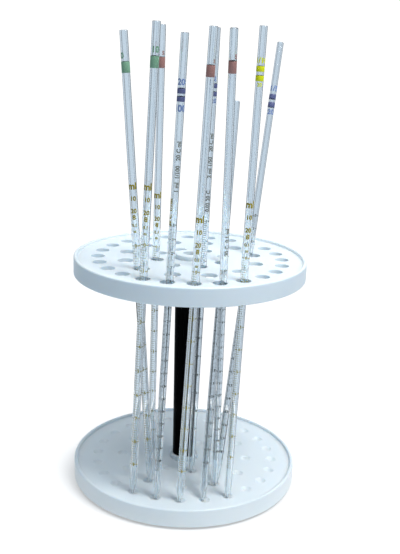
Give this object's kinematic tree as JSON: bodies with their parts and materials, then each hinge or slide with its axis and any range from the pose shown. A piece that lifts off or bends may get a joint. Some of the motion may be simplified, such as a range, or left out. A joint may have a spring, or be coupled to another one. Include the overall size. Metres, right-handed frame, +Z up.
{
  "type": "pipette stand with pipettes",
  "caption": "Round two-plate rotating bench stand on a tapered black column, holding leaning graduated glass pipettes with coloured bands in rings of holes.",
  "frame": {"origin": "centre of the stand, on the table it rests on", "axes": "+Z up along the column, -Y towards the front"},
  "size_m": [0.19, 0.1921, 0.3781],
  "materials": {
    "white_plastic": "moulded polypropylene, satin",
    "black_plastic": "glossy black moulding",
    "clear_glass": "clear drawn borosilicate tube, fire polished",
    "enamel_green": "fired enamel",
    "enamel_red": "fired enamel",
    "enamel_blue": "fired enamel",
    "enamel_yellow": "fired enamel",
    "zinc_steel": "zinc plated",
    "brass": "turned",
    "bearing_plastic": "acetal, natural",
    "rubber": "soft moulded"
  },
  "bodies": {
    "root": {"turntable_base": "white_plastic", "foot_pads": "rubber", "pivot_pin": "zinc_steel", "pin_clip": "zinc_steel", "thrust_washer": "bearing_plastic"},
    "rotor": {"lower_plate": "white_plastic", "lower_plate_rim": "white_plastic", "lower_hub": "white_plastic", "upper_plate": "white_plastic", "upper_plate_rim": "white_plastic", "upper_hub": "white_plastic", "column": "black_plastic", "column_nut": "black_plastic", "pivot_bush": "bearing_plastic", "top_insert": "brass", "top_washer": "zinc_steel", "top_screw": "zinc_steel"},
    "pipette_1": {"pipette_1_glass": "clear_glass", "pipette_1_bands": "enamel_green"},
    "pipette_2": {"pipette_2_glass": "clear_glass", "pipette_2_bands": "enamel_green"},
    "pipette_3": {"pipette_3_glass": "clear_glass", "pipette_3_bands": "enamel_red"},
    "pipette_4": {"pipette_4_glass": "clear_glass", "pipette_4_bands": "enamel_blue"},
    "pipette_5": {"pipette_5_glass": "clear_glass", "pipette_5_bands": "enamel_red"},
    "pipette_6": {"pipette_6_glass": "clear_glass", "pipette_6_bands": "enamel_blue"},
    "pipette_7": {"pipette_7_glass": "clear_glass", "pipette_7_bands": "enamel_red"},
    "pipette_8": {"pipette_8_glass": "clear_glass"},
    "pipette_9": {"pipette_9_glass": "clear_glass", "pipette_9_bands": "enamel_yellow"},
    "pipette_10": {"pipette_10_glass": "clear_glass", "pipette_10_bands": "enamel_blue"}
  },
  "joints": [
    {"name": "turntable", "type": "hinge", "parent": "root", "child": "rotor", "pos_m": [0, 0, 0.0116], "axis": [0, 0, 1], "continuous": true},
    {"name": "lift_1", "type": "slide", "parent": "rotor", "child": "pipette_1", "axis": [-0.0755, 0.0399, 0.9963], "range_m": [0, 0.2]},
    {"name": "lift_2", "type": "slide", "parent": "rotor", "child": "pipette_2", "axis": [0.0331, -0.0159, 0.9993], "range_m": [0, 0.2]},
    {"name": "lift_3", "type": "slide", "parent": "rotor", "child": "pipette_3", "axis": [0.0053, -0.0114, 0.9999], "range_m": [0, 0.2]},
    {"name": "lift_4", "type": "slide", "parent": "rotor", "child": "pipette_4", "axis": [0.0351, -0.0083, 0.9993], "range_m": [0, 0.2]},
    {"name": "lift_5", "type": "slide", "parent": "rotor", "child": "pipette_5", "axis": [0.0362, -0.0001, 0.9993], "range_m": [0, 0.2]},
    {"name": "lift_6", "type": "slide", "parent": "rotor", "child": "pipette_6", "axis": [0.0215, 0.003, 0.9998], "range_m": [0, 0.2]},
    {"name": "lift_7", "type": "slide", "parent": "rotor", "child": "pipette_7", "axis": [-0.0063, -0.1232, 0.9924], "range_m": [0, 0.2]},
    {"name": "lift_8", "type": "slide", "parent": "rotor", "child": "pipette_8", "axis": [0.0564, 0.321, 0.9454], "range_m": [0, 0.2]},
    {"name": "lift_9", "type": "slide", "parent": "rotor", "child": "pipette_9", "axis": [0.0275, 0.0158, 0.9995], "range_m": [0, 0.2]},
    {"name": "lift_10", "type": "slide", "parent": "rotor", "child": "pipette_10", "axis": [0.1195, 0.3223, 0.9391], "range_m": [0, 0.2]}
  ]
}
